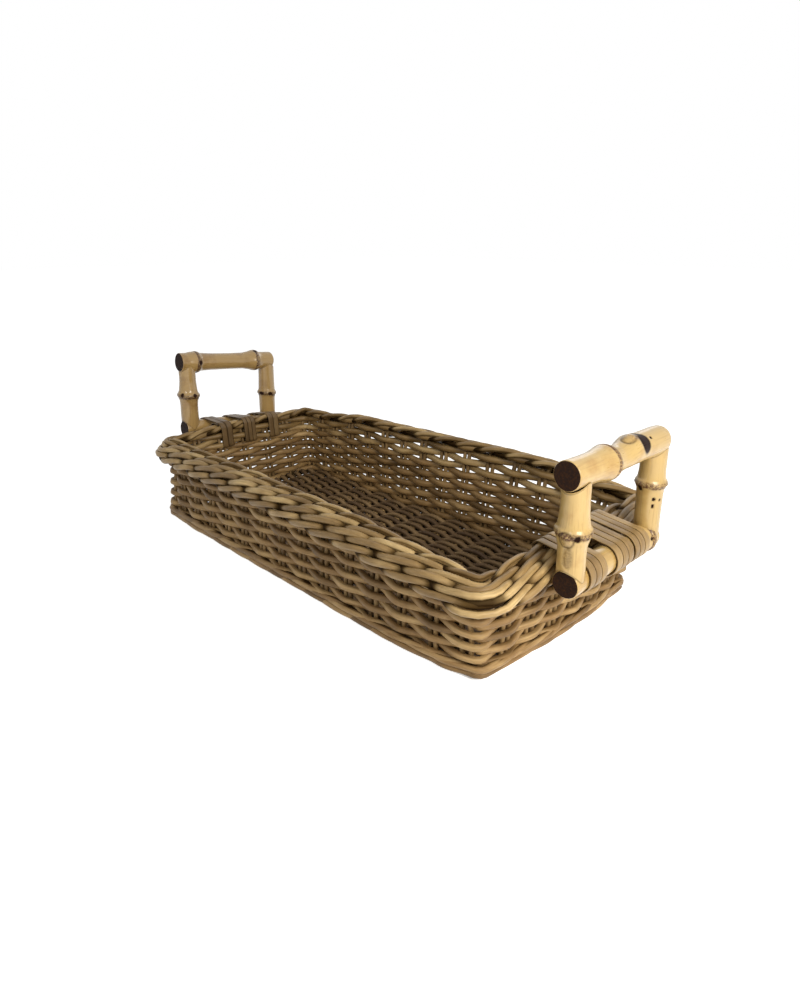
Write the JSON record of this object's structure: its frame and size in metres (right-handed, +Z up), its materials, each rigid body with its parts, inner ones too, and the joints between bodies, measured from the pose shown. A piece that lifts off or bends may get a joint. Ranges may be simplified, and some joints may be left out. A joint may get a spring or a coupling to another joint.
{
  "type": "handled woven tray basket",
  "caption": "Shallow rectangular woven cane tray basket with a thick rolled border, gently flared open-weave walls and an upright bamboo handle lashed to each end.",
  "frame": {"origin": "middle of the foot, on the surface the basket stands on", "axes": "+X along the basket towards the end where the rim is wider, +Y across it, +Z up"},
  "size_m": [0.5434, 0.2614, 0.1723],
  "materials": {
    "stake": "bare peeled cane, dull",
    "weaver": "smoke-dyed cane, satin",
    "floor": "dark cane, dull",
    "border": "smoke-dyed cane, satin",
    "bamboo": "smooth bamboo skin, glossy",
    "dowel": "bare",
    "lashing": "flat cane, satin"
  },
  "bodies": {
    "root": {"near_end_stakes": "stake", "back_wall_stakes": "stake", "far_end_stakes": "stake", "front_wall_stakes": "stake", "foot_wale_lower": "weaver", "foot_wale_upper": "weaver", "weaver_row_1": "weaver", "weaver_row_2": "weaver", "weaver_row_3": "weaver", "weaver_row_4": "weaver", "weaver_row_5": "weaver", "weaver_row_6": "weaver", "weaver_row_7": "weaver", "weaver_row_8": "weaver", "floor_sticks": "stake", "floor_mat": "floor", "border_wale": "border", "border_roll": "border", "near_handle_front_post": "bamboo", "near_handle_back_post": "bamboo", "near_handle_top_bar": "bamboo", "near_handle_bottom_bar": "bamboo", "near_handle_front_lower_dowel": "dowel", "near_handle_front_upper_dowel": "dowel", "near_handle_back_lower_dowel": "dowel", "near_handle_back_upper_dowel": "dowel", "far_handle_front_post": "bamboo", "far_handle_back_post": "bamboo", "far_handle_top_bar": "bamboo", "far_handle_bottom_bar": "bamboo", "far_handle_front_lower_dowel": "dowel", "far_handle_front_upper_dowel": "dowel", "far_handle_back_lower_dowel": "dowel", "far_handle_back_upper_dowel": "dowel", "near_lashing_front": "lashing", "near_lashing_middle": "lashing", "near_lashing_back": "lashing", "far_lashing_front": "lashing", "far_lashing_middle": "lashing", "far_lashing_back": "lashing"}
  },
  "joints": []
}
